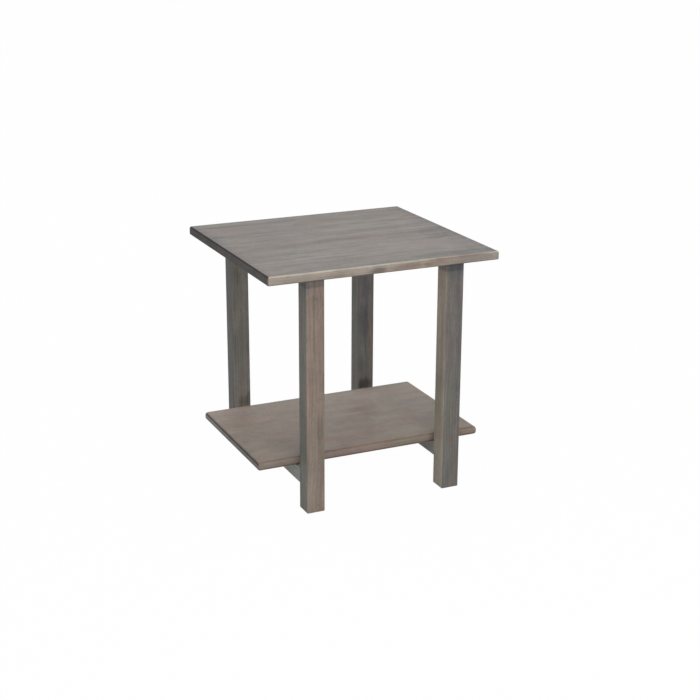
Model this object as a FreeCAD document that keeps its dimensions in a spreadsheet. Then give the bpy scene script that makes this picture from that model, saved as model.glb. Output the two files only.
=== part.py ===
import FreeCAD, Part
import Sketcher
import math
import os

# End table with a shelf, in millimetres.  +Z is up, +X runs along the length of the top, and the
# origin is on the floor under the middle of the table.
#
# Two side frames stand under one glued-up top.  A side frame is a front leg and a back leg joined
# by an upper rail, which carries the top, and a lower stretcher, which carries the shelf.  Rails
# and stretchers end in round-edged tenons that seat in routed mortises in the legs.  The top and
# the shelf are screwed on from below.  Each screw stands in a counterbored slot in its rail, so
# that the wide panels can move across their grain with the seasons.

SIZES = (
    # alias, value, what it measures
    ("tableHeight", 610, "floor to the upper face of the top"),
    ("topLength", 610, "top, along X"),
    ("topDepth", 558, "top, along Y"),
    ("topThickness", 22, "top"),
    ("topRound", 6, "round-over of the upper edge of the top"),
    ("topEase", 3, "round-over of the lower edge of the top"),
    ("topCorner", 4, "radius of the corners of the top, seen from above"),
    ("shelfLength", 610, "shelf, along X"),
    ("shelfDepth", 394, "shelf, along Y"),
    ("shelfThickness", 22, "shelf"),
    ("shelfHeight", 120, "floor to the upper face of the shelf"),
    ("shelfRound", 9, "round-over of the upper edge of the shelf"),
    ("shelfEase", 8, "round-over of the lower edge of the shelf"),
    ("shelfCorner", 5, "radius of the corners of the shelf, seen from above"),
    ("endOverhang", 96, "end of the top beyond the outer faces of the legs"),
    ("frontOverhang", 4, "front and back edge of the top beyond the legs"),
    ("legWidth", 47, "leg, along X"),
    ("legDepth", 47, "leg, along Y"),
    ("legEase", 2, "round-over of the long arrises of a leg"),
    ("footEase", 1.5, "chamfer round the foot of a leg"),
    ("railThickness", 24, "upper rails and stretchers, along X"),
    ("upperRailInset", 11.5, "outer face of an upper rail behind the outer faces of its legs"),
    ("stretcherInset", 5, "outer face of a stretcher behind the outer faces of its legs"),
    ("railEase", 1.5, "round-over of the lower arrises of a rail"),
    ("upperRailHeight", 20, "upper rail"),
    ("stretcherHeight", 38, "lower stretcher"),
    ("tenonThickness", 8, "tenon, along X"),
    ("tenonLength", 26, "tenon, from its shoulder to its end"),
    ("tenonShoulder", 4, "shoulder under every tenon and over those of the stretchers"),
    ("tenonSetDown", 6, "shoulder over the tenons of the upper rails"),
    ("tenonFit", 0.1, "glue gap round a tenon"),
    ("mortiseRoom", 1.5, "glue well beyond the end of a tenon"),
    ("topScrewPitch", 340, "between the two screws that hold the top to one rail"),
    ("shelfScrewPitch", 260, "between the two screws that hold the shelf to one stretcher"),
    ("screwGrip", 16, "wood between a screw head and the panel above"),
    ("screwLength", 30, "screw, under its head"),
    ("screwDiameter", 4.2, "screw"),
    ("screwPoint", 1.5, "length of the pointed end of a screw"),
    ("headDiameter", 11, "screw head"),
    ("headHeight", 2.6, "screw head"),
    ("driveSize", 2.8, "square driver recess, across its flats"),
    ("driveDepth", 1.6, "square driver recess"),
    ("boreRoom", 1, "gap between a screw head and the wall of its counterbore"),
    ("slotRoom", 0.4, "gap between a screw and the sides of its hole in a rail"),
    ("slotTravel", 6, "length of a slot beyond a round hole"),
    ("pilotFit", 0.05, "gap between a screw and its pilot hole"),
    ("pilotRoom", 1.5, "pilot hole beyond the point of a screw"),
)

doc = FreeCAD.newDocument("EndTable")
sheet = doc.addObject("Spreadsheet::Sheet", "Sizes")
for row, (alias, value, note) in enumerate(SIZES, start=1):
    sheet.set("A%d" % row, note)
    sheet.set("B%d" % row, str(value))
    sheet.setAlias("B%d" % row, alias)
doc.recompute()

# Lengths and places that follow from the sizes, as expressions on the sheet.
legHeight = "(Sizes.tableHeight - Sizes.topThickness)"
legX = "(Sizes.topLength / 2 - Sizes.endOverhang - Sizes.legWidth / 2)"
legY = "(Sizes.topDepth / 2 - Sizes.frontOverhang - Sizes.legDepth / 2)"
upperShift = "(Sizes.legWidth / 2 - Sizes.upperRailInset - Sizes.railThickness / 2)"
lowerShift = "(Sizes.legWidth / 2 - Sizes.stretcherInset - Sizes.railThickness / 2)"
upperRailX = "(%s + %s)" % (legX, upperShift)
stretcherX = "(%s + %s)" % (legX, lowerShift)
railLength = "(2 * %s - Sizes.legDepth)" % legY
shelfUnderside = "(Sizes.shelfHeight - Sizes.shelfThickness)"
upperRailBase = "(%s - Sizes.upperRailHeight)" % legHeight
stretcherBase = "(%s - Sizes.stretcherHeight)" % shelfUnderside
upperTenon = "(Sizes.upperRailHeight - Sizes.tenonShoulder - Sizes.tenonSetDown)"
lowerTenon = "(Sizes.stretcherHeight - 2 * Sizes.tenonShoulder)"
boreWidth = "(Sizes.headDiameter + 2 * Sizes.boreRoom)"
slotWidth = "(Sizes.screwDiameter + 2 * Sizes.slotRoom)"
pilotDepth = "(Sizes.screwLength - Sizes.screwGrip + Sizes.pilotRoom)"


def number(expression):
    """The value of an expression on the sheet, for a sketch's first guess or an edge's place."""
    return float(sheet.evalExpression(expression.replace("Sizes.", "")))


def originPart(body, role):
    return next(part for part in body.Origin.OriginFeatures if part.Role == role)


def addBody(name, x="0", y="0", z="0"):
    """A body whose place follows the sheet."""
    body = doc.addObject("PartDesign::Body", name)
    body.Label = name
    for axis, place in zip("xyz", (x, y, z)):
        body.setExpression("Placement.Base." + axis, place)
    return body


def addSketch(body, name, plane, x="0", y="0", z="0"):
    """A sketch on one of the body's own planes, moved along the sketch's own x, y and normal."""
    sketch = body.newObject("Sketcher::SketchObject", name)
    sketch.AttachmentSupport = (originPart(body, plane), "")
    sketch.MapMode = "FlatFace"
    for axis, offset in zip("xyz", (x, y, z)):
        sketch.setExpression("AttachmentOffset.Base." + axis, offset)
    return sketch


def constrain(sketch, expression, *terms):
    """Add a dimension and bind it to the sheet."""
    index = sketch.addConstraint(Sketcher.Constraint(*terms, number(expression)))
    sketch.setExpression("Constraints[%d]" % index, expression)


def drawRectangle(sketch, width, height):
    """A rectangle centred on the sketch's origin."""
    x, y = number(width) / 2, number(height) / 2
    corners = [FreeCAD.Vector(a * x, b * y, 0) for a, b in ((-1, -1), (1, -1), (1, 1), (-1, 1))]
    lines = [sketch.addGeometry(Part.LineSegment(corners[i - 1], corners[i])) for i in range(4)]
    for i in range(4):
        sketch.addConstraint(Sketcher.Constraint("Coincident", lines[i - 1], 2, lines[i], 1))
        sketch.addConstraint(Sketcher.Constraint("Horizontal" if i % 2 else "Vertical", lines[i]))
    sketch.addConstraint(Sketcher.Constraint("Symmetric", lines[1], 1, lines[2], 2, -1, 1))
    constrain(sketch, width, "DistanceX", lines[1], 1, lines[1], 2)
    constrain(sketch, height, "DistanceY", lines[2], 1, lines[2], 2)


def drawSlot(sketch, width, spread):
    """A round-ended slot along the sketch's y, with its arc centres a spread apart."""
    r, c = number(width) / 2, number(spread) / 2
    normal = FreeCAD.Vector(0, 0, 1)
    upper = sketch.addGeometry(Part.ArcOfCircle(
        Part.Circle(FreeCAD.Vector(0, c, 0), normal, r), 0, math.pi))
    left = sketch.addGeometry(Part.LineSegment(
        FreeCAD.Vector(-r, c, 0), FreeCAD.Vector(-r, -c, 0)))
    lower = sketch.addGeometry(Part.ArcOfCircle(
        Part.Circle(FreeCAD.Vector(0, -c, 0), normal, r), math.pi, 2 * math.pi))
    right = sketch.addGeometry(Part.LineSegment(
        FreeCAD.Vector(r, -c, 0), FreeCAD.Vector(r, c, 0)))
    loop = (upper, left, lower, right)
    for i in range(4):
        sketch.addConstraint(Sketcher.Constraint("Tangent", loop[i - 1], 2, loop[i], 1))
    sketch.addConstraint(Sketcher.Constraint("Equal", upper, lower))
    sketch.addConstraint(Sketcher.Constraint("Vertical", right))
    sketch.addConstraint(Sketcher.Constraint("Symmetric", upper, 3, lower, 3, -1, 1))
    constrain(sketch, "%s / 2" % width, "Radius", upper)
    constrain(sketch, spread, "DistanceY", lower, 3, upper, 3)


def drawCircle(sketch, diameter):
    """A circle centred on the sketch's origin."""
    circle = sketch.addGeometry(Part.Circle(
        FreeCAD.Vector(0, 0, 0), FreeCAD.Vector(0, 0, 1), number(diameter) / 2))
    sketch.addConstraint(Sketcher.Constraint("Coincident", circle, 3, -1, 1))
    constrain(sketch, diameter, "Diameter", circle)


def addPad(body, sketch, length, symmetric=False):
    pad = body.newObject("PartDesign::Pad", sketch.Name + "Pad")
    pad.Profile = sketch
    if symmetric:
        pad.SideType = "Symmetric"
    pad.setExpression("Length", length)
    doc.recompute()
    return pad


def addPocket(body, sketch, depth, reverse):
    """A pocket along the sketch's normal if reverse is set, and against it if not."""
    before = body.Shape.Volume
    pocket = body.newObject("PartDesign::Pocket", sketch.Name + "Pocket")
    pocket.Profile = sketch
    pocket.Reversed = reverse
    pocket.setExpression("Length", depth)
    doc.recompute()
    if body.Shape.Volume >= before:
        raise RuntimeError("%s cuts nothing" % pocket.Label)
    return pocket


def addHole(body, sketch, diameter, depth):
    """A flat-bottomed blind hole along the sketch's normal."""
    before = body.Shape.Volume
    hole = body.newObject("PartDesign::Hole", sketch.Name + "Hole")
    hole.Profile = sketch
    doc.recompute()
    hole.Reversed = True
    hole.DepthType = "Dimension"
    hole.DrillPoint = "Flat"
    hole.setExpression("Diameter", diameter)
    hole.setExpression("Depth", depth)
    doc.recompute()
    if body.Shape.Volume >= before:
        raise RuntimeError("%s cuts nothing" % hole.Label)
    return hole


def addEdgeFeature(body, kind, base, size, wanted):
    """A fillet or chamfer on the edges of a feature whose bounding boxes are wanted."""
    names = ["Edge%d" % (i + 1) for i, edge in enumerate(base.Shape.Edges) if wanted(edge.BoundBox)]
    if not names:
        raise RuntimeError("%s has no edge to work on" % base.Label)
    feature = body.newObject("PartDesign::" + kind, base.Name + kind)
    feature.Base = (base, names)
    feature.setExpression("Radius" if kind == "Fillet" else "Size", size)
    doc.recompute()
    return feature


def repeatForScrews(body, originals, pitch):
    """Repeat features at the other end of a rail, and mirror both to the other side frame."""
    pattern = body.newObject("PartDesign::MultiTransform", "ScrewPlaces")
    row = body.newObject("PartDesign::LinearPattern", "AlongRail")
    row.Direction = (originPart(body, "Y_Axis"), [""])
    row.Occurrences = 2
    row.setExpression("Length", pitch)
    mirror = body.newObject("PartDesign::Mirrored", "OtherFrame")
    mirror.MirrorPlane = (originPart(body, "YZ_Plane"), [""])
    pattern.Originals = originals
    pattern.Transformations = [row, mirror]
    body.Tip = pattern
    doc.recompute()
    return pattern


def makePanel(name, length, depth, thickness, top, rounding, easing, corner, railX, pitch):
    """A flat panel with rounded edges and a pilot hole over each screw."""
    body = addBody(name, z="%s - %s" % (top, thickness))
    outline = addSketch(body, "Outline", "XY_Plane")
    drawRectangle(outline, length, depth)
    panel = addPad(body, outline, thickness)
    half, near = number(thickness) / 2, number(thickness) / 100
    panel = addEdgeFeature(body, "Fillet", panel, corner, lambda box: box.ZLength > half)
    panel = addEdgeFeature(body, "Fillet", panel, rounding, lambda box: box.ZMin > 2 * half - near)
    panel = addEdgeFeature(body, "Fillet", panel, easing, lambda box: box.ZMax < near)
    pilot = addSketch(body, "Pilot", "XY_Plane", x=railX, y="-%s / 2" % pitch)
    drawCircle(pilot, "Sizes.screwDiameter")
    hole = addHole(body, pilot, "Sizes.screwDiameter + 2 * Sizes.pilotFit", pilotDepth)
    repeatForScrews(body, [hole], pitch)
    return body


def makeLeg(name, sideX, sideY):
    """A leg with one mortise for the stretcher and one for the upper rail in its inner face."""
    body = addBody(name, x="%d * %s" % (sideX, legX), y="%d * %s" % (sideY, legY))
    section = addSketch(body, "Section", "XY_Plane")
    drawRectangle(section, "Sizes.legWidth", "Sizes.legDepth")
    leg = addPad(body, section, legHeight)
    half = number(legHeight) / 2
    leg = addEdgeFeature(body, "Fillet", leg, "Sizes.legEase", lambda box: box.ZLength > half)
    near = number("Sizes.footEase") / 10
    leg = addEdgeFeature(body, "Chamfer", leg, "Sizes.footEase", lambda box: box.ZMax < near)
    for level, shift, base, height in (
        ("Lower", lowerShift, stretcherBase, lowerTenon),
        ("Upper", upperShift, upperRailBase, upperTenon),
    ):
        mortise = addSketch(
            body, level + "Mortise", "XZ_Plane",
            x="%d * %s" % (sideX, shift),
            y="%s + Sizes.tenonShoulder + %s / 2" % (base, height),
            z="%d * Sizes.legDepth / 2" % sideY)
        drawSlot(mortise, "(Sizes.tenonThickness + 2 * Sizes.tenonFit)",
                 "%s - Sizes.tenonThickness" % height)
        addPocket(body, mortise, "Sizes.tenonLength + Sizes.mortiseRoom", reverse=sideY < 0)
    return body


def makeRail(name, sideX, railX, base, height, tenon, pitch):
    """A rail between the legs of one side frame, with a tenon at each end and its screw holes."""
    body = addBody(name, x="%d * %s" % (sideX, railX), z=base)
    section = addSketch(body, "Section", "XZ_Plane", y="%s / 2" % height)
    drawRectangle(section, "Sizes.railThickness", height)
    rail = addPad(body, section, railLength, symmetric=True)
    near, long = number("Sizes.railEase") / 10, number(railLength) / 2
    rail = addEdgeFeature(body, "Fillet", rail, "Sizes.railEase",
                          lambda box: box.ZMax < near and box.YLength > long)
    tongue = addSketch(body, "Tenon", "XZ_Plane", y="Sizes.tenonShoulder + %s / 2" % tenon)
    drawSlot(tongue, "Sizes.tenonThickness", "%s - Sizes.tenonThickness" % tenon)
    addPad(body, tongue, "%s + 2 * Sizes.tenonLength" % railLength, symmetric=True)

    bore = addSketch(body, "Bore", "XY_Plane", y="%s / 2" % pitch)
    drawSlot(bore, boreWidth, "Sizes.slotTravel")
    borePocket = addPocket(body, bore, "%s - Sizes.screwGrip" % height, reverse=True)
    slot = addSketch(body, "Slot", "XY_Plane", y="%s / 2" % pitch)
    drawSlot(slot, slotWidth, "Sizes.slotTravel")
    slotPocket = addPocket(body, slot, height, reverse=True)
    mirror = body.newObject("PartDesign::Mirrored", "OtherEnd")
    mirror.Originals = [borePocket, slotPocket]
    mirror.MirrorPlane = (originPart(body, "XZ_Plane"), [""])
    body.Tip = mirror
    doc.recompute()
    return body


def makeScrews(name, railX, panelUnderside, pitch):
    """Wide-headed screws, point up, each with its head against the end of its counterbore."""
    body = addBody(name, z="%s - Sizes.screwGrip" % panelUnderside)
    body.AllowCompound = True
    profile = addSketch(body, "Profile", "XZ_Plane", x=railX, z="%s / 2" % pitch)
    shank, head = number("Sizes.screwDiameter") / 2, number("Sizes.headDiameter") / 2
    tip, low = number("Sizes.screwLength"), -number("Sizes.headHeight")
    shoulder = tip - number("Sizes.screwPoint")
    points = [FreeCAD.Vector(x, y, 0) for x, y in (
        (0, low), (0, tip), (shank, shoulder), (shank, 0), (head, 0), (head, low))]
    lines = [profile.addGeometry(Part.LineSegment(points[i], points[(i + 1) % 6]))
             for i in range(6)]
    axis, point, side, under, edge, front = lines
    for i in range(6):
        profile.addConstraint(Sketcher.Constraint("Coincident", lines[i - 1], 2, lines[i], 1))
    for kind, line in (("Vertical", side), ("Horizontal", under),
                       ("Vertical", edge), ("Horizontal", front)):
        profile.addConstraint(Sketcher.Constraint(kind, line))
    for end in (1, 2):
        profile.addConstraint(Sketcher.Constraint("PointOnObject", axis, end, -2))
    profile.addConstraint(Sketcher.Constraint("PointOnObject", side, 2, -1))
    constrain(profile, "Sizes.screwLength", "DistanceY", -1, 1, axis, 2)
    constrain(profile, "Sizes.headHeight", "DistanceY", axis, 1, -1, 1)
    constrain(profile, "Sizes.screwPoint", "DistanceY", point, 2, point, 1)
    constrain(profile, "Sizes.screwDiameter / 2", "DistanceX", -1, 1, side, 2)
    constrain(profile, "Sizes.headDiameter / 2", "DistanceX", -1, 1, under, 2)
    turned = body.newObject("PartDesign::Revolution", "Turned")
    turned.Profile = profile
    turned.ReferenceAxis = (profile, ["V_Axis"])
    doc.recompute()
    drive = addSketch(body, "Drive", "XY_Plane", x=railX, y="-%s / 2" % pitch,
                      z="-Sizes.headHeight")
    drawRectangle(drive, "Sizes.driveSize", "Sizes.driveSize")
    recess = addPocket(body, drive, "Sizes.driveDepth", reverse=True)
    repeatForScrews(body, [turned, recess], pitch)
    return body


bodies = [
    makePanel("table_top", "Sizes.topLength", "Sizes.topDepth", "Sizes.topThickness",
              "Sizes.tableHeight", "Sizes.topRound", "Sizes.topEase", "Sizes.topCorner",
              upperRailX, "Sizes.topScrewPitch"),
    makePanel("shelf", "Sizes.shelfLength", "Sizes.shelfDepth", "Sizes.shelfThickness",
              "Sizes.shelfHeight", "Sizes.shelfRound", "Sizes.shelfEase", "Sizes.shelfCorner",
              stretcherX, "Sizes.shelfScrewPitch"),
]
for sideX, sideName in ((-1, "left"), (1, "right")):
    for sideY, endName in ((-1, "front"), (1, "back")):
        bodies.append(makeLeg("leg_%s_%s" % (endName, sideName), sideX, sideY))
    bodies.append(makeRail("upper_rail_" + sideName, sideX, upperRailX, upperRailBase,
                           "Sizes.upperRailHeight", upperTenon, "Sizes.topScrewPitch"))
    bodies.append(makeRail("stretcher_" + sideName, sideX, stretcherX, stretcherBase,
                           "Sizes.stretcherHeight", lowerTenon, "Sizes.shelfScrewPitch"))
for panelName, railX, underside, pitch in (
        ("top", upperRailX, legHeight, "Sizes.topScrewPitch"),
        ("shelf", stretcherX, shelfUnderside, "Sizes.shelfScrewPitch")):
    bodies.append(makeScrews(panelName + "_screws", railX, underside, pitch))
doc.recompute()

failed = [item.Label for item in doc.Objects if {"Invalid", "Error"} & set(item.State)]
if failed:
    raise RuntimeError("these objects failed: " + ", ".join(failed))
for body in bodies:
    if body.Shape.isNull() or not body.Shape.isValid() or not body.Shape.Solids:
        raise RuntimeError("%s has no valid solid" % body.Label)

os.makedirs("parts", exist_ok=True)
for body in bodies:
    body.Shape.exportStep("parts/%s.step" % body.Label)
    print("%-18s %2d solid(s) %12.1f mm3" % (body.Label, len(body.Shape.Solids), body.Shape.Volume))
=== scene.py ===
import bmesh
import bpy
import math
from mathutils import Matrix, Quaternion, Vector


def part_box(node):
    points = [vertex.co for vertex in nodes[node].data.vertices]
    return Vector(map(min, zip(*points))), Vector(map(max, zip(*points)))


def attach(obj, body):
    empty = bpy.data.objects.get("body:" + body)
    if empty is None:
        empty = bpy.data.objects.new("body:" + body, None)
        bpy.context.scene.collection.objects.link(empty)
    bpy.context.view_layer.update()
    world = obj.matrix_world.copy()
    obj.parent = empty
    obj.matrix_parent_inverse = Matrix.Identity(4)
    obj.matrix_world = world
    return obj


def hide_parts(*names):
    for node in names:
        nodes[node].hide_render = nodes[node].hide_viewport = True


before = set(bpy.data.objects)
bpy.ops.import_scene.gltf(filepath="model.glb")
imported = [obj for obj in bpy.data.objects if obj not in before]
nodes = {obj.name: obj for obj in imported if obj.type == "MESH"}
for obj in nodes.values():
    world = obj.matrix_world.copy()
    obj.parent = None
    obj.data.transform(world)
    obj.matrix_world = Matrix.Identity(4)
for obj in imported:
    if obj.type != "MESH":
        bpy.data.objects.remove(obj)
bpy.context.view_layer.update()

print("frame loaded:", len(nodes), "nodes")


# small helpers for objects, materials and shader nodes

def addObject(name, data):
    made = bpy.data.objects.new(name, data)
    bpy.context.scene.collection.objects.link(made)
    return made


def addPiece(name, mesh, faceWeight):
    piece = addObject(name, mesh)
    shading = piece.modifiers.new("flat faces stay flat", "WEIGHTED_NORMAL")
    shading.mode, shading.weight = "FACE_AREA", faceWeight
    return piece


def newMaterial(name):
    material = bpy.data.materials.new(name)
    material.use_nodes = True
    material.node_tree.nodes.clear()
    return material, material.node_tree


def dress(obj, material):
    obj.data.materials.clear()
    obj.data.materials.append(material)


def addNode(tree, kind, inputs=None, **settings):
    # an input is given a socket to link, a value, or a colour without its alpha
    node = tree.nodes.new(kind)
    for name, value in settings.items():
        setattr(node, name, value)
    for key, value in (inputs or {}).items():
        socket = node.inputs[key]
        if isinstance(value, bpy.types.NodeSocket):
            tree.links.new(value, socket)
        elif socket.type == "RGBA":
            socket.default_value = (*value, 1)
        else:
            socket.default_value = value
    return node


def endTree(tree, shader, kind="ShaderNodeOutputMaterial"):
    addNode(tree, kind, {"Surface": shader.outputs[0]})


def calc(tree, operation, *terms):
    return addNode(tree, "ShaderNodeMath", dict(enumerate(terms)), operation=operation).outputs[0]


def vectorCalc(tree, operation, *terms):
    node = addNode(tree, "ShaderNodeVectorMath", dict(enumerate(terms)), operation=operation)
    return node.outputs["Value" if operation == "LENGTH" else "Vector"]


def scaledVector(tree, vector, scale):
    return addNode(tree, "ShaderNodeVectorMath", {0: vector, "Scale": scale},
                   operation="SCALE").outputs["Vector"]


def splitVector(tree, vector):
    return addNode(tree, "ShaderNodeSeparateXYZ", {0: vector}).outputs


def stepBetween(tree, value, low, high, start=0.0, end=1.0):
    # a soft step from start to end as the value goes from low to high
    return addNode(tree, "ShaderNodeMapRange",
                   {"Value": value, "From Min": low, "From Max": high,
                    "To Min": start, "To Max": end},
                   interpolation_type="SMOOTHSTEP").outputs["Result"]


def mixColours(tree, factor, first, second, blend="MIX"):
    return addNode(tree, "ShaderNodeMix", {0: factor, 6: first, 7: second},
                   data_type="RGBA", blend_type=blend, clamp_factor=True).outputs[2]


def tinted(tree, factor, colour, tint):
    return mixColours(tree, factor, colour, mixColours(tree, 1.0, colour, tint, "MULTIPLY"))


def grainNoise(tree, vector, stretch, detail, roughness=0.5, distortion=0.0):
    # noise about as long as 1 / stretch[0] along the grain, and as wide as 1 / stretch[1] across
    stretched = vectorCalc(tree, "MULTIPLY", vector, stretch)
    return addNode(tree, "ShaderNodeTexNoise",
                   {"Vector": stretched, "Scale": 1.0, "Detail": detail,
                    "Roughness": roughness, "Distortion": distortion}).outputs


def newGroup(name, inputs, outputs):
    tree = bpy.data.node_groups.new(name, "ShaderNodeTree")
    for inOut, sockets in (("INPUT", inputs), ("OUTPUT", outputs)):
        for socket, kind in sockets:
            tree.interface.new_socket(name=socket, in_out=inOut,
                                      socket_type="NodeSocket" + kind)
    return tree, tree.nodes.new("NodeGroupInput").outputs, tree.nodes.new("NodeGroupOutput").inputs


def placeGroup(tree, group, inputs):
    return addNode(tree, "ShaderNodeGroup", inputs, node_tree=group).outputs


# shader groups that every wooden piece shares

# stretch along and across the grain in 1 / metres, then detail, roughness and distortion
figure = {
    "Band": ((1.6, 15, 15), 1.0, 0.5, 0.2),
    "Cloud": ((14, 24, 24), 2.5, 0.55, 0.4),
    "Hue": ((6, 14, 14), 2.0, 0.5, 0.2),
    "Streak": ((4.2, 85, 85), 2.0, 0.5, 0.25),
    "Line": ((3.5, 300, 300), 1.0, 0.5, 0.3),
    "Fibre": ((24, 800, 800), 2.0, 0.6),
    "Ripple": ((80, 15, 15), 1.0, 0.4, 0.8),
    "Pores": ((110, 1900, 1900), 0.0),
    "wander": ((2.6, 8, 8), 1.0),
}
figureLimits = {"Line": (0.6, 0.72), "Pores": (0.62, 0.74)}      # noise at which a mark sets in
figureMarks = [(name, "Vector" if name == "Hue" else "Float") for name in
               ("Band", "Cloud", "Hue", "Streak", "Line", "Fibre", "Ripple", "Pores", "Rings")]

growth = {
    "ringWidth": 0.006,          # metres
    "wanderReach": 0.02,         # metres that a ring strays
    "rise": (0.2, 0.85),         # shares of a year in which the wood darkens
    "fall": (0.88, 1.0),         # and turns light again
}

drying = {                       # what the grey stain makes of the marks
    "darkest": 0.15,             # least share of the base colour
    "hueSpread": (1.6, 1.0, 0.85),
    "poreColour": (0.02, 0.018, 0.016),
    "roughness": 0.46,
    "fibreRoughness": 0.16,
    "cloudRoughness": 0.14,
    "poreRoughness": 0.2,
    "fibreHeight": 0.7,
    "rippleHeight": 0.12,
    "poreDepth": 0.8,
    "ringDepth": 0.1,
}
sideBlend = 0.1                  # half the width of the step between end and edge


def makeFigureGroup():
    # the marks of the wood itself, in coordinates whose x runs along the grain
    tree, given, made = newGroup(
        "wood figure",
        [("Place", "Vector"), ("Shift", "Vector"), ("Pith", "Vector")], figureMarks)
    place = vectorCalc(tree, "ADD", given["Place"], given["Shift"])
    for name, kind in figureMarks:
        if name in figure:
            mark = grainNoise(tree, place, *figure[name])["Color" if kind == "Vector" else "Fac"]
            if name in figureLimits:
                mark = stepBetween(tree, mark, *figureLimits[name])
            tree.links.new(mark, made[name])

    # growth rings round the pith
    stray = grainNoise(tree, place, *figure["wander"])["Fac"]
    stray = calc(tree, "MULTIPLY", calc(tree, "SUBTRACT", stray, 0.5), 2 * growth["wanderReach"])
    across = vectorCalc(tree, "MULTIPLY", vectorCalc(tree, "SUBTRACT", given["Place"],
                                                     given["Pith"]), (0.0, 1.0, 1.0))
    radius = calc(tree, "ADD", vectorCalc(tree, "LENGTH", across), stray)
    year = calc(tree, "FRACT", calc(tree, "DIVIDE", radius, growth["ringWidth"]))
    rise = stepBetween(tree, year, *growth["rise"])
    fall = stepBetween(tree, year, *growth["fall"], 1.0, 0.0)
    tree.links.new(calc(tree, "MULTIPLY", rise, fall), made["Rings"])
    return tree


def makeStainGroup():
    # what a grey stain makes of those marks: its colour, how rough it dries, how high it stands
    strengths = [(name + " Strength", "Float") for name in
                 ("Band", "Cloud", "Hue", "Streak", "Line", "Fibre", "Ripple", "Ring", "Pore")]
    tree, given, made = newGroup(
        "grey stain", figureMarks + [("Base", "Color"), ("Tone", "Float")] + strengths,
        [("Color", "Color"), ("Roughness", "Float"), ("Height", "Float")])

    def around(name, weight):
        return calc(tree, "MULTIPLY", calc(tree, "SUBTRACT", given[name], 0.5), weight)

    def share(name, weight):
        return calc(tree, "MULTIPLY", given[name], weight)

    level = calc(tree, "ADD", given["Tone"], 1.0)
    for name in ("Band", "Cloud", "Streak", "Fibre", "Ripple"):
        level = calc(tree, "ADD", level, around(name, given[name + " Strength"]))
    for name, strength in (("Line", "Line Strength"), ("Rings", "Ring Strength")):
        level = calc(tree, "SUBTRACT", level, share(name, given[strength]))
    level = calc(tree, "MAXIMUM", level, drying["darkest"])
    hue = vectorCalc(tree, "SUBTRACT", given["Hue"], (0.5, 0.5, 0.5))
    spread = scaledVector(tree, drying["hueSpread"], given["Hue Strength"])
    hue = vectorCalc(tree, "MULTIPLY_ADD", hue, spread, (1.0, 1.0, 1.0))
    shade = scaledVector(tree, hue, level)
    colour = mixColours(tree, 1.0, given["Base"], shade, "MULTIPLY")
    colour = mixColours(tree, share("Pores", given["Pore Strength"]), colour,
                        drying["poreColour"])
    tree.links.new(colour, made["Color"])

    rough = calc(tree, "ADD", drying["roughness"], around("Fibre", drying["fibreRoughness"]))
    rough = calc(tree, "ADD", rough, around("Cloud", drying["cloudRoughness"]))
    rough = calc(tree, "ADD", rough, share("Pores", drying["poreRoughness"]))
    tree.links.new(rough, made["Roughness"])
    height = calc(tree, "ADD", around("Fibre", drying["fibreHeight"]),
                  around("Ripple", drying["rippleHeight"]))
    height = calc(tree, "SUBTRACT", height, share("Pores", drying["poreDepth"]))
    height = calc(tree, "SUBTRACT", height, share("Rings", drying["ringDepth"]))
    tree.links.new(height, made["Height"])
    return tree


def makeArrisGroup():
    # the distance to the nearest arris in metres, which side a face looks to, with end grain
    # facing x and edges facing y, the rounds at a corner and round the end grain, and the tilt:
    # -1 looks down, 0 sideways and 1 up
    tree, given, made = newGroup(
        "arrises",
        [("Place", "Vector"), ("Half Size", "Vector"), ("Normal", "Vector")],
        [(name, "Float") for name in ("Distance", "End", "Edge", "Corner", "Rim", "Tilt")])
    inside = vectorCalc(tree, "SUBTRACT", given["Half Size"],
                        vectorCalc(tree, "ABSOLUTE", given["Place"]))
    x, y, z = splitVector(tree, inside)
    lesser, greater = calc(tree, "MINIMUM", x, y), calc(tree, "MAXIMUM", x, y)
    tree.links.new(calc(tree, "MAXIMUM", lesser, calc(tree, "MINIMUM", greater, z)),
                   made["Distance"])
    x, y, z = splitVector(tree, vectorCalc(tree, "ABSOLUTE", given["Normal"]))
    slant = calc(tree, "SQRT", calc(tree, "ADD", calc(tree, "MULTIPLY", y, y),
                                    calc(tree, "MULTIPLY", z, z)))
    for name, second in (("Rim", slant), ("Corner", y)):
        both = calc(tree, "MULTIPLY", calc(tree, "MULTIPLY", x, second), 2.0)
        tree.links.new(both, made[name])
    side = calc(tree, "SUBTRACT", x, y)
    tree.links.new(stepBetween(tree, side, -sideBlend, sideBlend), made["End"])
    tree.links.new(stepBetween(tree, side, -sideBlend, sideBlend, 1.0, 0.0), made["Edge"])
    tree.links.new(splitVector(tree, given["Normal"])[2], made["Tilt"])
    return tree


figureGroup, stainGroup, arrisGroup = makeFigureGroup(), makeStainGroup(), makeArrisGroup()
print("shader groups made")


# the stained wood of every piece

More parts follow.
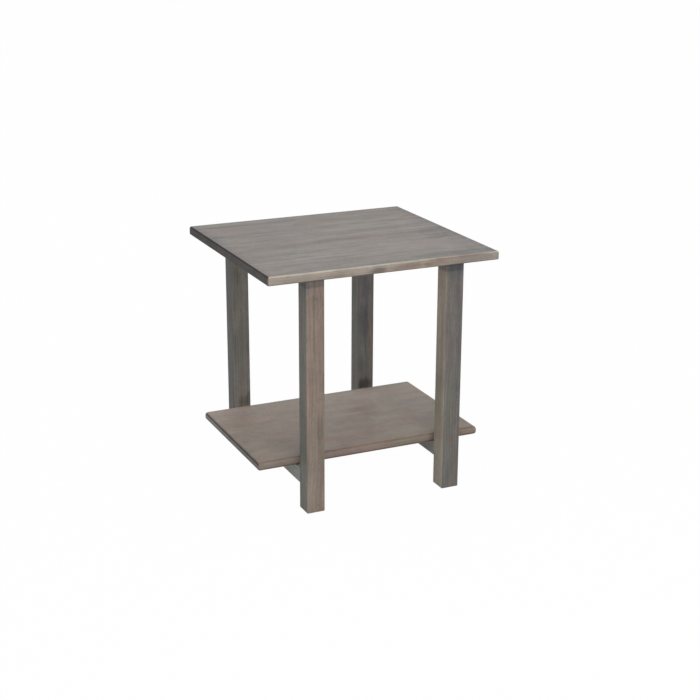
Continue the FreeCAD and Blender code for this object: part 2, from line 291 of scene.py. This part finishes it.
stain = {
    "wear": ((1.16, 1.13, 1.08), 0.5),         # tint and strength of the rubbed arrises
    "wearReach": (0.0008, 0.0035),             # metres from the arris
    "wearStray": 0.005,                        # metres that the streaks carry the wear about
    "edgeSlant": (0.35, 0.85),                 # slants at which a face turns to edge grain
    "endSlant": (0.2, 0.7),                    # and to end grain
    "flatSlant": (0.97, 0.999),                # and counts as level, for the strip at its rim
    "endRoughness": 0.3,                       # how much rougher the end grain is
    "bump": 0.00012,                           # metres that the grain stands up
    "specular": 0.12,
    "spotEdge": (0.25, 1.1),                   # shares of its reach in which a spot fades, stain and painted light alike
    "spotStray": (("Streak", 1.2), ("Cloud", 1.0)),      # marks that make its outline ragged
    "headFade": (0.004, 0.002),                # metres below and above the edge of the painted shadow at a leg's head
    "boardShift": (5.0, 5.0, 5.0),             # metres over which boards are drawn from the log
    "pithStart": (0.0, -0.025, -0.02),         # metres from a board's middle, at a draw of 0
    "pithReach": (0.0, 0.05, -0.12),           # what a draw of 1 adds to it
}

turned = {                       # for a grain along x, y or z: the turn, and the order of the axes
    "x": ((0, 0, 0), (0, 1, 2)),
    "y": ((0, 0, math.pi / 2), (1, 0, 2)),
    "z": ((0, -math.pi / 2, 0), (2, 1, 0)),
}


def sawBoards(tree):
    # each board comes from a place of its own in the log, and has a tone of its own
    board = addNode(tree, "ShaderNodeAttribute", attribute_type="GEOMETRY",
                    attribute_name="board").outputs["Vector"]
    number, middle, tone = splitVector(tree, board)
    chance = addNode(tree, "ShaderNodeTexWhiteNoise", {"W": number},
                     noise_dimensions="1D").outputs["Color"]
    shift = vectorCalc(tree, "MULTIPLY", chance, stain["boardShift"])
    pith = vectorCalc(tree, "MULTIPLY_ADD", chance, stain["pithReach"], stain["pithStart"])
    boardMiddle = addNode(tree, "ShaderNodeCombineXYZ", {1: middle}).outputs[0]
    return shift, vectorCalc(tree, "ADD", pith, boardMiddle), tone


def shadeArrises(tree, colour, wood, arris, streak, onEnd, level):
    # the rubbed arrises, the lines along the rounds, some of which are painted highlights, and the
    # strip beside them
    ragged = calc(tree, "MULTIPLY_ADD", calc(tree, "SUBTRACT", streak, 0.5),
                  stain["wearStray"], arris["Distance"])
    wearTint, wearStrength = stain["wear"]
    rubbed = stepBetween(tree, ragged, *stain["wearReach"], wearStrength, 0.0)
    rubbed = calc(tree, "MULTIPLY", rubbed, calc(tree, "SUBTRACT", 1.0, onEnd))
    colour = tinted(tree, rubbed, colour, wearTint)
    for side, tilts, tint in wood["lines"]:
        there = arris[side]
        if tilts:
            there = calc(tree, "MULTIPLY", there, stepBetween(tree, arris["Tilt"], *tilts[:2]))
            there = calc(tree, "MULTIPLY", there,
                         stepBetween(tree, arris["Tilt"], *tilts[2:], 1.0, 0.0))
        colour = tinted(tree, there, colour, tint)
    if "rimShade" in wood:
        near, far, tint = wood["rimShade"]
        strip = stepBetween(tree, arris["Distance"], near, far, 1.0, 0.0)
        strip = calc(tree, "MULTIPLY", strip, stepBetween(tree, level, *stain["flatSlant"]))
        colour = tinted(tree, strip, colour, tint)
    return colour


def paintStainsAndLight(tree, colour, spots, place, marks):
    # the spots hold real stains as well as painted light and painted shade
    for middle, reach, tint in spots:
        apart = vectorCalc(tree, "SUBTRACT", place, middle)
        apart = vectorCalc(tree, "LENGTH", vectorCalc(tree, "DIVIDE", apart, reach))
        for mark, weight in stain["spotStray"]:
            apart = calc(tree, "MULTIPLY_ADD", calc(tree, "SUBTRACT", marks[mark], 0.5),
                         weight, apart)
        spot = stepBetween(tree, apart, *stain["spotEdge"], 1.0, 0.0)
        colour = tinted(tree, spot, colour, tint)
    return colour


def paintHeadShadow(tree, colour, headShade, along, end):
    # a painted shadow at the upper end of a leg, where the top overhangs it
    reach, tint = headShade
    below, above = stain["headFade"]
    head = stepBetween(tree, along, end - reach - below, end - reach + above)
    return tinted(tree, head, colour, tint)


def stainedWood(name, grain, box, wood):
    # wood["flat"], wood["edge"] and wood["end"] are the colours of the three kinds of face
    material, tree = newMaterial(name)
    low, high = box
    turn, order = turned[grain]
    half = [(high - low)[axis] / 2 for axis in order]
    coordinates = addNode(tree, "ShaderNodeTexCoord").outputs
    place = addNode(tree, "ShaderNodeMapping",
                    {"Vector": coordinates["Object"], "Location": (low + high) / 2,
                     "Rotation": turn}, vector_type="TEXTURE").outputs[0]
    normal = addNode(tree, "ShaderNodeMapping",
                     {"Vector": coordinates["Normal"], "Rotation": turn},
                     vector_type="TEXTURE").outputs[0]
    if "boards" in wood:
        shift, pith, boardTone = sawBoards(tree)
        tone = calc(tree, "ADD", boardTone, wood["tone"])
    else:
        shift, pith, tone = wood["shift"], wood["pith"], wood["tone"]
    marks = placeGroup(tree, figureGroup, {"Place": place, "Shift": shift, "Pith": pith})

    x, y, z = splitVector(tree, vectorCalc(tree, "ABSOLUTE", normal))
    onEdge = stepBetween(tree, y, *stain["edgeSlant"])
    onEnd = stepBetween(tree, x, *stain["endSlant"])
    base = mixColours(tree, onEdge, wood["flat"], wood["edge"])
    base = mixColours(tree, onEnd, base, wood["end"])
    strengths = {key + " Strength": value for key, value in wood["strengths"].items()}
    dried = placeGroup(tree, stainGroup, {
        "Base": base, "Tone": tone, **strengths,
        **{key: marks[key] for key in marks.keys()}})
    arris = placeGroup(tree, arrisGroup, {"Place": place, "Half Size": half, "Normal": normal})
    colour = shadeArrises(tree, dried["Color"], wood, arris, marks["Streak"], onEnd, z)
    colour = paintStainsAndLight(tree, colour, wood.get("stainsAndPaintedLight", ()), coordinates["Object"], marks)
    if "headShade" in wood:
        colour = paintHeadShadow(tree, colour, wood["headShade"], splitVector(tree, place)[0], half[0])

    rough = calc(tree, "MULTIPLY_ADD", onEnd, stain["endRoughness"], dried["Roughness"])
    bump = addNode(tree, "ShaderNodeBump", {"Strength": 1.0, "Distance": stain["bump"],
                                            "Height": dried["Height"]}).outputs[0]
    endTree(tree, addNode(tree, "ShaderNodeBsdfPrincipled",
                          {"Base Color": colour, "Roughness": rough, "Normal": bump,
                           "Specular IOR Level": stain["specular"], "IOR": 1.5}))
    return material


# the top and the shelf, glued up from boards

# boards: each one's width and tone, from the front
# rimShade: a strip of the flat faces, from and to so many metres from the arris, and its tint
# lines: the kind of round, the tilts in which the line comes up and goes, and its tint
# spots of stain and of painted light and shade: each spot's middle and reach in the table's
# metres, and its tint
panels = {
    "table_top": {
        "piece": "glued_top",
        "slot": "top_wood",
        "seed": 3,
        "boards": ((0.08, -0.02), (0.085, 0.01), (0.06, 0.03), (0.066, -0.03),
                   (0.05, 0.045), (0.085, 0.0), (0.072, 0.015), (0.06, 0.0)),
        "flat": (0.261, 0.235, 0.217), "edge": (0.352, 0.3, 0.26), "end": (0.114, 0.105, 0.1),
        "tone": 0.03,
        "strengths": {"Band": 0.55, "Cloud": 0.66, "Hue": 0.14, "Streak": 0.35, "Line": 0.16,
                      "Fibre": 0.25, "Ripple": 0.06, "Ring": 0.08, "Pore": 0.3},
        "rimShade": (0.008, 0.028, (0.88, 0.895, 0.92)),
        "lines": (
            ("End", (0.3, 0.6, 0.93, 0.999), (0.4, 0.39, 0.38)),
            # a painted highlight along the upper rounds of the front and back edges
            ("Edge", (0.4, 0.8, 0.95, 0.995), (1.7, 1.72, 1.72)),
            ("Edge", (-0.97, -0.6, -0.25, -0.03), (0.57, 0.56, 0.54)),
            # a painted highlight down the rounded corners
            ("Corner", None, (1.5, 1.5, 1.45)),
        ),
        "stainsAndPaintedLight": (
            # on the front edge
            ((-0.023, -0.279, 0.598), (0.026, 0.02, 0.014), (0.56, 0.56, 0.57)),
            ((0.06, -0.279, 0.598), (0.07, 0.01, 0.014), (0.88, 0.85, 0.84)),
            ((0.12, -0.279, 0.597), (0.08, 0.01, 0.016), (0.88, 0.82, 0.81)),
            # dims the painted highlight along the right half of the front arris
            ((0.19, -0.277, 0.607), (0.14, 0.006, 0.005), (0.83, 0.79, 0.77)),
            ((0.105, -0.279, 0.596), (0.012, 0.01, 0.01), (0.84, 0.8, 0.78)),
            # towards the right end
            ((0.31, -0.1, 0.61), (0.11, 0.37, 0.02), (0.86, 0.88, 0.89)),
            ((0.247, -0.25, 0.61), (0.07, 0.016, 0.006), (0.85, 0.91, 0.98)),
            ((0.207, 0.04, 0.61), (0.05, 0.02, 0.006), (0.87, 0.95, 0.97)),
            ((0.232, -0.091, 0.61), (0.04, 0.02, 0.006), (0.88, 0.95, 0.97)),
            ((0.12, -0.25, 0.61), (0.05, 0.02, 0.006), (0.85, 0.88, 0.92)),
            # towards the left end
            ((-0.199, 0.147, 0.61), (0.07, 0.025, 0.01), (1.04, 0.95, 0.93)),
            ((-0.21, 0.04, 0.61), (0.07, 0.02, 0.01), (1.03, 0.93, 0.91)),
            ((-0.27, -0.14, 0.61), (0.06, 0.02, 0.01), (0.9, 0.86, 0.86)),
            ((-0.29, 0.11, 0.61), (0.03, 0.1, 0.01), (0.88, 0.92, 0.95)),
            # long light and dark bands
            ((-0.03, 0.033, 0.61), (0.4, 0.014, 0.01), (1.09, 1.09, 1.09)),
            ((-0.08, -0.017, 0.61), (0.35, 0.012, 0.01), (0.91, 0.905, 0.9)),
            ((-0.08, -0.066, 0.61), (0.25, 0.014, 0.01), (1.07, 1.08, 1.08)),
            ((-0.16, -0.116, 0.61), (0.09, 0.014, 0.01), (1.1, 1.1, 1.1)),
            ((0.08, 0.155, 0.61), (0.2, 0.012, 0.01), (1.07, 1.07, 1.07)),
            ((-0.146, -0.246, 0.61), (0.05, 0.01, 0.01), (0.86, 0.86, 0.87)),
        ),
    },
    "shelf": {
        "piece": "glued_shelf",
        "slot": "shelf_wood",
        "seed": 11,
        # the tones rise from front to back: partly the boards' own tones, partly painted light
        # that makes the shelf lighter towards the back
        "boards": ((0.084, -0.12), (0.066, -0.11), (0.06, -0.07), (0.05, 0.01),
                   (0.045, 0.12), (0.045, 0.22), (0.042, 0.26)),
        "flat": (0.345, 0.289, 0.254), "edge": (0.3, 0.242, 0.207), "end": (0.244, 0.227, 0.217),
        "tone": 0.03,
        "strengths": {"Band": 0.1, "Cloud": 0.5, "Hue": 0.18, "Streak": 0.1, "Line": 0.05,
                      "Fibre": 0.12, "Ripple": 0.12, "Ring": 0.03, "Pore": 0.3},
        "rimShade": (0.011, 0.03, (0.96, 0.94, 0.93)),
        "lines": (
            ("End", (0.2, 0.36, 0.6, 0.87), (0.42, 0.38, 0.355)),
            ("End", (-0.97, -0.6, -0.15, -0.01), (0.35, 0.34, 0.335)),
            ("Edge", (0.6, 0.85, 0.97, 0.9999), (0.8, 0.72, 0.67)),
            ("Edge", (-0.97, -0.6, -0.25, -0.03), (0.68, 0.64, 0.62)),
        ),
        "stainsAndPaintedLight": (
            # painted light that lifts the shade beside the front legs on the shelf's front edge
            ((-0.21, -0.197, 0.109), (0.03, 0.01, 0.03), (1.25, 1.26, 1.28)),
            ((0.16, -0.197, 0.109), (0.03, 0.01, 0.03), (1.2, 1.2, 1.2)),
            # painted light that lifts the shadows of the back legs on the shelf
            ((-0.205, 0.175, 0.12), (0.05, 0.045, 0.01), (1.1, 1.11, 1.13)),
            ((0.137, 0.15, 0.12), (0.06, 0.08, 0.01), (1.19, 1.21, 1.23)),
        ),
    },
}
gluing = {
    "mergeReach": 1e-6,       # metres within which loose corners are one
    "flatAngle": 0.5,         # degrees within which two faces are one
    "faceWeight": 100,        # how far the large faces set the shading of the small
}


def gluePanel(node, panel):
    # a merged copy of the node's mesh, cut along the glue lines, each board marked
    mesh = nodes[node].data.copy()
    mesh.name = panel["piece"]
    work = bmesh.new()
    work.from_mesh(mesh)
    bmesh.ops.remove_doubles(work, verts=work.verts, dist=gluing["mergeReach"])
    bmesh.ops.dissolve_limit(work, angle_limit=math.radians(gluing["flatAngle"]),
                             verts=work.verts, edges=work.edges)
    low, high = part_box(node)
    line, ends, middle = low.y, [], (low.y + high.y) / 2
    share = (high.y - low.y) / sum(width for width, _ in panel["boards"])
    for width, _ in panel["boards"]:
        ends.append((line, line + width * share))
        line += width * share
    for start, _ in ends[1:]:
        bmesh.ops.bisect_plane(work, geom=work.verts[:] + work.edges[:] + work.faces[:],
                               dist=gluing["mergeReach"], plane_co=(0, start, 0),
                               plane_no=(0, 1, 0))
    marks = work.faces.layers.float_vector.new("board")      # number, middle and tone
    for face in work.faces:
        y = face.calc_center_median().y
        number = sum(y > end for _, end in ends[:-1])
        tone = panel["boards"][number][1]
        face[marks] = (panel["seed"] + number, sum(ends[number]) / 2 - middle, tone)
        face.smooth = True
    work.to_mesh(mesh)
    work.free()
    mesh.update()
    piece = addPiece(panel["piece"], mesh, gluing["faceWeight"])
    dress(piece, stainedWood(panel["piece"] + " wood", "x", (low, high), panel))
    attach(piece, "root")
    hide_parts(node)


for node, panel in panels.items():
    gluePanel(node, panel)
print("top and shelf glued up")


# legs, rails and stretchers keep the shapes of the frame

# shift: the piece's place in the log, in metres; pith: the log's heart, from the piece's middle
sticks = {
    "leg_front_left": {
        "grain": "z", "shift": (0.3, 1.7, 0.2), "pith": (0, 0.03, -0.05),
        "edge": (0.259, 0.203, 0.17), "flat": (0.168, 0.16, 0.144),
        "stainsAndPaintedLight": (
            ((-0.2, -0.275, 0.05), (0.026, 0.02, 0.1), (1.14, 1.17, 1.2)),
            ((-0.176, -0.275, 0.21), (0.012, 0.02, 0.07), (0.82, 0.84, 0.83)),
            ((-0.188, -0.275, 0.52), (0.02, 0.02, 0.06), (0.87, 0.89, 0.9)),
            ((-0.164, -0.275, 0.335), (0.008, 0.02, 0.03), (0.82, 0.82, 0.82)),
            # painted shade at the head of the leg, deepening its painted shadow under the top
            ((-0.205, -0.275, 0.57), (0.02, 0.02, 0.02), (0.8, 0.88, 0.98)),
        ),
    },
    "leg_front_right": {
        "grain": "z", "shift": (2.1, 0.4, 3.3), "pith": (0, -0.04, 0.03),
        "edge": (0.171, 0.159, 0.147), "flat": (0.352, 0.305, 0.25),
        "stainsAndPaintedLight": (
            ((0.162, -0.272, 0.33), (0.018, 0.013, 0.4), (1.17, 1.15, 1.19)),
            ((0.172, -0.275, 0.06), (0.02, 0.02, 0.1), (1.12, 1.17, 1.18)),
            ((0.207, -0.275, 0.33), (0.018, 0.02, 0.4), (0.92, 0.9, 0.94)),
            # painted shade at the head of the leg, deepening its painted shadow under the top
            ((0.185, -0.275, 0.57), (0.03, 0.02, 0.03), (0.78, 0.86, 0.9)),
            ((0.177, -0.275, 0.5), (0.007, 0.02, 0.05), (1.15, 1.14, 1.12)),
            ((0.184, -0.275, 0.435), (0.007, 0.02, 0.06), (1.18, 1.16, 1.15)),
            ((0.189, -0.275, 0.36), (0.007, 0.02, 0.05), (1.13, 1.12, 1.12)),
            ((0.191, -0.275, 0.53), (0.007, 0.02, 0.05), (0.84, 0.86, 0.88)),
            ((0.183, -0.275, 0.05), (0.009, 0.02, 0.05), (0.84, 0.86, 0.88)),
            ((0.197, -0.275, 0.145), (0.007, 0.02, 0.03), (1.18, 1.16, 1.15)),
        ),
    },
    "leg_back_left": {
        "grain": "z", "shift": (4.2, 2.9, 1.1), "pith": (0, -0.02, -0.06),
        "edge": (0.312, 0.284, 0.254), "flat": (0.118, 0.112, 0.106),
        "stainsAndPaintedLight": (
            ((-0.197, 0.228, 0.475), (0.012, 0.02, 0.03), (0.88, 0.84, 0.83)),
            ((-0.186, 0.228, 0.175), (0.014, 0.02, 0.05), (0.99, 0.92, 0.92)),
            # these two: darker where the back leg meets the shelf
            ((-0.181, 0.228, 0.122), (0.024, 0.02, 0.022), (0.68, 0.66, 0.66)),
            ((-0.166, 0.228, 0.13), (0.012, 0.02, 0.03), (0.72, 0.73, 0.76)),
        ),
    },
    "leg_back_right": {
        "grain": "z", "shift": (1.4, 5.3, 2.6), "pith": (0, 0.05, 0.04),
        "edge": (0.235, 0.225, 0.215), "flat": (0.163, 0.159, 0.144),
        "stainsAndPaintedLight": (
            ((0.184, 0.228, 0.31), (0.007, 0.02, 0.1), (0.74, 0.76, 0.84)),
            ((0.2, 0.228, 0.3), (0.008, 0.02, 0.13), (1.22, 1.08, 1.0)),
            # darker where the back leg meets the shelf
            ((0.182, 0.228, 0.118), (0.026, 0.02, 0.022), (0.5, 0.5, 0.5)),
            ((0.182, 0.228, 0.4), (0.018, 0.02, 0.045), (0.84, 0.86, 0.88)),
            ((0.18, 0.228, 0.212), (0.016, 0.02, 0.03), (1.15, 1.15, 1.15)),
            ((0.162, 0.25, 0.41), (0.01, 0.03, 0.06), (0.88, 0.89, 0.9)),
        ),
    },
    "upper_rail_left": {"grain": "y", "shift": (3.2, 0.8, 4.1), "pith": (0, 0.02, 0.05)},
    "upper_rail_right": {"grain": "y", "shift": (0.9, 3.6, 0.5), "pith": (0, -0.03, 0.04)},
    "stretcher_left": {
        "grain": "y", "shift": (5.1, 1.2, 2.4), "pith": (0, 0.04, -0.03),
        # its flat faces, top and underside, are painted much lighter than the other sticks',
        # painted light that lifts the shade under the shelf
        "edge": (0.295, 0.302, 0.284), "flat": (0.43, 0.43, 0.405),
    },
    "stretcher_right": {
        "grain": "y", "shift": (2.7, 4.4, 1.9), "pith": (0, -0.05, 0.02),
        "edge": (0.31, 0.298, 0.286),
    },
}

stickWood = {             # what a stick has unless its own entry says otherwise
    "edge": (0.2, 0.185, 0.165), "flat": (0.2, 0.18, 0.16), "end": (0.15, 0.133, 0.117),
    "tone": 0.03,
    "strengths": {"Band": 0.3, "Cloud": 0.55, "Hue": 0.15, "Streak": 0.55, "Line": 0.2,
                  "Fibre": 0.25, "Ripple": 0.06, "Ring": 0.1, "Pore": 0.3},
    "lines": (("Rim", None, (0.3, 0.29, 0.27)),),
}
# a painted shadow along the head of each leg, under the overhang of the top
legPaintedHeadShadow = (0.016, (0.64, 0.67, 0.72))        # reach in metres, tint

for node, wood in sticks.items():
    options = {**stickWood, **wood}
    if node.startswith("leg"):
        options["headShade"] = legPaintedHeadShadow
    dress(nodes[node], stainedWood(node + " wood", options["grain"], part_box(node), options))
print("legs and rails dressed")


# screws with a domed head, a square recess and a thread

screw = {                     # metres
    "coreRadius": 0.0015,
    "tipRadius": 0.0002,
    "pointLength": 0.0045,
    "sides": 28,              # round the head and the shank
    "headHeight": 0.0026,
    "crown": (0.93, 0.78, 0.55),         # rings of the dome, as shares of the head's radius
    "crownHeight": 0.0014,
    "recess": 0.0028,         # across the flats
    "recessDepth": 0.0016,
    "recessInset": 0.0001,
    "threadRadius": 0.0021,
    "threadRoot": 0.8,        # share of the core's radius from which the thread rises
    "threadWidth": 0.3,       # half the width of the thread, as a share of the pitch
    "pitch": 0.0022,
    "pitchSteps": 16,         # for each turn
    "threadStart": 0.001,     # above the seat
    "threadless": 0.006,      # length of the shank that has no thread
    "faceWeight": 50,         # as for the panels, a share and not metres
}

zincFinish = {
    "cloud": ((420, 420, 420), 3.0),          # stretch in 1 / metres, detail
    "scratch": ((300, 2600, 2600), 2.0),
    "colours": ((0.5, 0.51, 0.54), (0.72, 0.72, 0.7)),
    "roughness": (0.25, 0.22),                # share of the scratches, least value
    "bump": (0.4, 0.00005),                   # strength, metres
}


def brightZinc():
    material, tree = newMaterial("bright zinc")
    place = addNode(tree, "ShaderNodeTexCoord").outputs["Object"]
    cloud = grainNoise(tree, place, *zincFinish["cloud"])["Fac"]
    scratch = grainNoise(tree, place, *zincFinish["scratch"])["Fac"]
    colour = mixColours(tree, cloud, *zincFinish["colours"])
    rough = calc(tree, "MULTIPLY_ADD", scratch, *zincFinish["roughness"])
    strength, distance = zincFinish["bump"]
    bump = addNode(tree, "ShaderNodeBump", {"Strength": strength, "Distance": distance,
                                            "Height": scratch}).outputs[0]
    endTree(tree, addNode(tree, "ShaderNodeBsdfPrincipled",
                          {"Base Color": colour, "Roughness": rough, "Metallic": 1.0,
                           "Normal": bump}))
    return material


def turnBody(work, seat, length, headRadius):
    # the point, the shank and the domed head, point up; the flat of the head is given back
    core, headHeight, crownHeight = screw["coreRadius"], screw["headHeight"], screw["crownHeight"]
    rings = [(screw["tipRadius"], length), (core, length - screw["pointLength"]), (core, 0),
             (headRadius, 0), (headRadius, crownHeight - headHeight)]
    for share in screw["crown"]:
        drop = math.sqrt(1 - share * share)
        rings.append((headRadius * share, crownHeight * (1 - drop) - headHeight))
    outline = [work.verts.new(seat + Vector((radius, 0, z))) for radius, z in rings]
    edges = [work.edges.new(pair) for pair in zip(outline, outline[1:])]
    before = set(work.faces)
    bmesh.ops.spin(work, geom=outline + edges, cent=seat, axis=(0, 0, 1), angle=2 * math.pi,
                   steps=screw["sides"], use_merge=True)
    verts = {vert for face in work.faces if face not in before for vert in face.verts}
    rims = [edge for edge in work.edges if edge.is_boundary and edge.verts[0] in verts]
    caps = bmesh.ops.holes_fill(work, edges=rims, sides=0)["faces"]
    return min(caps, key=lambda cap: cap.calc_center_median().z)


def cutRecess(work, seat, face):
    bmesh.ops.inset_individual(work, faces=[face], thickness=screw["recessInset"])
    for vert in face.verts:               # the inner ring becomes a square
        flat = vert.co - seat
        flat.z = 0
        reach = screw["recess"] / 2 / max(abs(flat.x), abs(flat.y)) * flat.length
        vert.co = Vector((seat.x, seat.y, vert.co.z)) + flat.normalized() * reach
    pushed = bmesh.ops.extrude_face_region(work, geom=[face])["geom"]
    moved = [item for item in pushed if isinstance(item, bmesh.types.BMVert)]
    bmesh.ops.translate(work, verts=moved, vec=(0, 0, screw["recessDepth"]))
    bmesh.ops.delete(work, geom=[face], context="FACES_ONLY")


def windThread(work, seat, length):
    # a ridge swept up the shank
    turns = int((length - screw["threadless"]) / screw["pitch"])
    start = seat + Vector((0, 0, screw["threadStart"]))
    root, rise = screw["coreRadius"] * screw["threadRoot"], screw["pitch"] * screw["threadWidth"]
    ridge = [work.verts.new(start + Vector(corner)) for corner in
             ((root, 0, -rise), (screw["threadRadius"], 0, 0), (root, 0, rise))]
    bmesh.ops.spin(work, geom=[work.faces.new(ridge)], cent=seat, axis=(0, 0, 1),
                   angle=2 * math.pi * turns, steps=screw["pitchSteps"] * turns,
                   dvec=(0, 0, screw["pitch"] / screw["pitchSteps"]))


def makeScrews(node, name, material):
    low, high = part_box(node)
    screws = {}
    for vert in nodes[node].data.vertices:    # one screw stands at each corner of the pattern
        screws.setdefault((vert.co.x > 0, vert.co.y > 0), []).append(vert.co)
    seatHeight = low.z + screw["headHeight"]
    work = bmesh.new()
    for points in screws.values():
        left, right = min(p.x for p in points), max(p.x for p in points)
        front, back = min(p.y for p in points), max(p.y for p in points)
        seat = Vector(((left + right) / 2, (front + back) / 2, seatHeight))
        length = high.z - low.z - screw["headHeight"]
        cutRecess(work, seat, turnBody(work, seat, length, (right - left) / 2))
        windThread(work, seat, length)
    bmesh.ops.recalc_face_normals(work, faces=work.faces)
    for face in work.faces:
        face.smooth = True
    mesh = bpy.data.meshes.new(name)
    work.to_mesh(mesh)
    work.free()
    piece = addPiece(name, mesh, screw["faceWeight"])
    dress(piece, material)
    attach(piece, "root")
    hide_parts(node)


zinc = brightZinc()
makeScrews("top_screws", "threaded_top_screws", zinc)
makeScrews("shelf_screws", "threaded_shelf_screws", zinc)
print("screws turned")


# floor, light and camera

studio = {
    "floorSize": 90.0,
    "floorDrop": 0.0003,        # below the feet
    "floorColour": (0.86, 0.86, 0.86),
    "floorGlow": 0.985,         # share of plain white that the camera sees in the floor
    "worldLevel": 0.45,
    "worldColour": (0.96, 0.985, 1.0),
    "lamps": {                  # watts, and whether the lamp is mirrored in the finish
        "front": {"place": (-0.4, -2.25, 2.5), "size": (1.8, 1.4), "watts": 47,
                  "colour": (1.0, 0.97, 0.92), "mirrored": True},
        "back": {"place": (0.0, 3.2, 2.2), "size": (4.5, 2.6), "watts": 30,
                 "colour": (1.0, 1.0, 1.0), "mirrored": False},
    },
    "aim": (0.0, 0.0, 0.35),
}


def seenDirectly(tree):
    path = addNode(tree, "ShaderNodeLightPath").outputs
    seen = calc(tree, "MAXIMUM", path["Is Camera Ray"], path["Is Glossy Ray"])
    return calc(tree, "MAXIMUM", seen, path["Is Transmission Ray"])


def layFloor():
    work = bmesh.new()
    bmesh.ops.create_grid(work, x_segments=1, y_segments=1, size=studio["floorSize"] / 2)
    bmesh.ops.translate(work, verts=work.verts, vec=(0, 0, -studio["floorDrop"]))
    mesh = bpy.data.meshes.new("floor")
    work.to_mesh(mesh)
    work.free()
    floor = addObject("floor", mesh)
    material, tree = newMaterial("pale floor")
    matt = addNode(tree, "ShaderNodeBsdfDiffuse", {"Color": studio["floorColour"]}).outputs[0]
    white = addNode(tree, "ShaderNodeEmission", {"Color": (1, 1, 1)}).outputs[0]
    share = calc(tree, "MULTIPLY", seenDirectly(tree), studio["floorGlow"])
    above = addNode(tree, "ShaderNodeMixShader", {0: share, 1: matt, 2: white}).outputs[0]
    clear = addNode(tree, "ShaderNodeBsdfTransparent").outputs[0]
    below = addNode(tree, "ShaderNodeNewGeometry").outputs["Backfacing"]
    endTree(tree, addNode(tree, "ShaderNodeMixShader", {0: below, 1: above, 2: clear}))
    dress(floor, material)


def lightWorld():
    world = bpy.data.worlds.new("studio")
    bpy.context.scene.world = world
    world.use_nodes = True
    tree = world.node_tree
    tree.nodes.clear()
    soft = addNode(tree, "ShaderNodeBackground", {"Color": studio["worldColour"],
                                                  "Strength": studio["worldLevel"]}).outputs[0]
    white = addNode(tree, "ShaderNodeBackground", {"Color": (1, 1, 1),
                                                   "Strength": 1.0}).outputs[0]
    mixed = addNode(tree, "ShaderNodeMixShader", {0: seenDirectly(tree), 1: soft, 2: white})
    endTree(tree, mixed, "ShaderNodeOutputWorld")


def turnTowards(obj, place, aim):
    obj.location = place
    obj.rotation_mode = "QUATERNION"
    obj.rotation_quaternion = (Vector(aim) - Vector(place)).to_track_quat("-Z", "Y")


def hangLamps():
    for name, lamp in studio["lamps"].items():
        light = bpy.data.lights.new(name, "AREA")
        light.shape, light.size, light.size_y = "RECTANGLE", *lamp["size"]
        light.energy, light.color = lamp["watts"], lamp["colour"]
        hung = addObject(name, light)
        turnTowards(hung, lamp["place"], studio["aim"])
        hung.visible_camera = False
        hung.visible_glossy = lamp["mirrored"]


view = {
    "place": (-1.44738, -3.19665, 1.46749),
    "aim": (0.02654, -0.01021, 0.3107),
    "roll": 0.217,          # degrees
    "lens": 73.091,         # millimetres
    "sensor": 36,           # millimetres wide
    "clip": (0.1, 200),     # metres
}


def standCamera():
    data = bpy.data.cameras.new("camera")
    data.sensor_width, data.lens = view["sensor"], view["lens"]
    data.clip_start, data.clip_end = view["clip"]
    camera = addObject("camera", data)
    turnTowards(camera, view["place"], view["aim"])
    camera.rotation_quaternion = (camera.rotation_quaternion
                                  @ Quaternion((0, 0, 1), math.radians(view["roll"])))
    bpy.context.scene.camera = camera


layFloor()
lightWorld()
hangLamps()
standCamera()
bpy.context.scene.view_settings.view_transform = "Standard"
print("floor, light and camera placed")
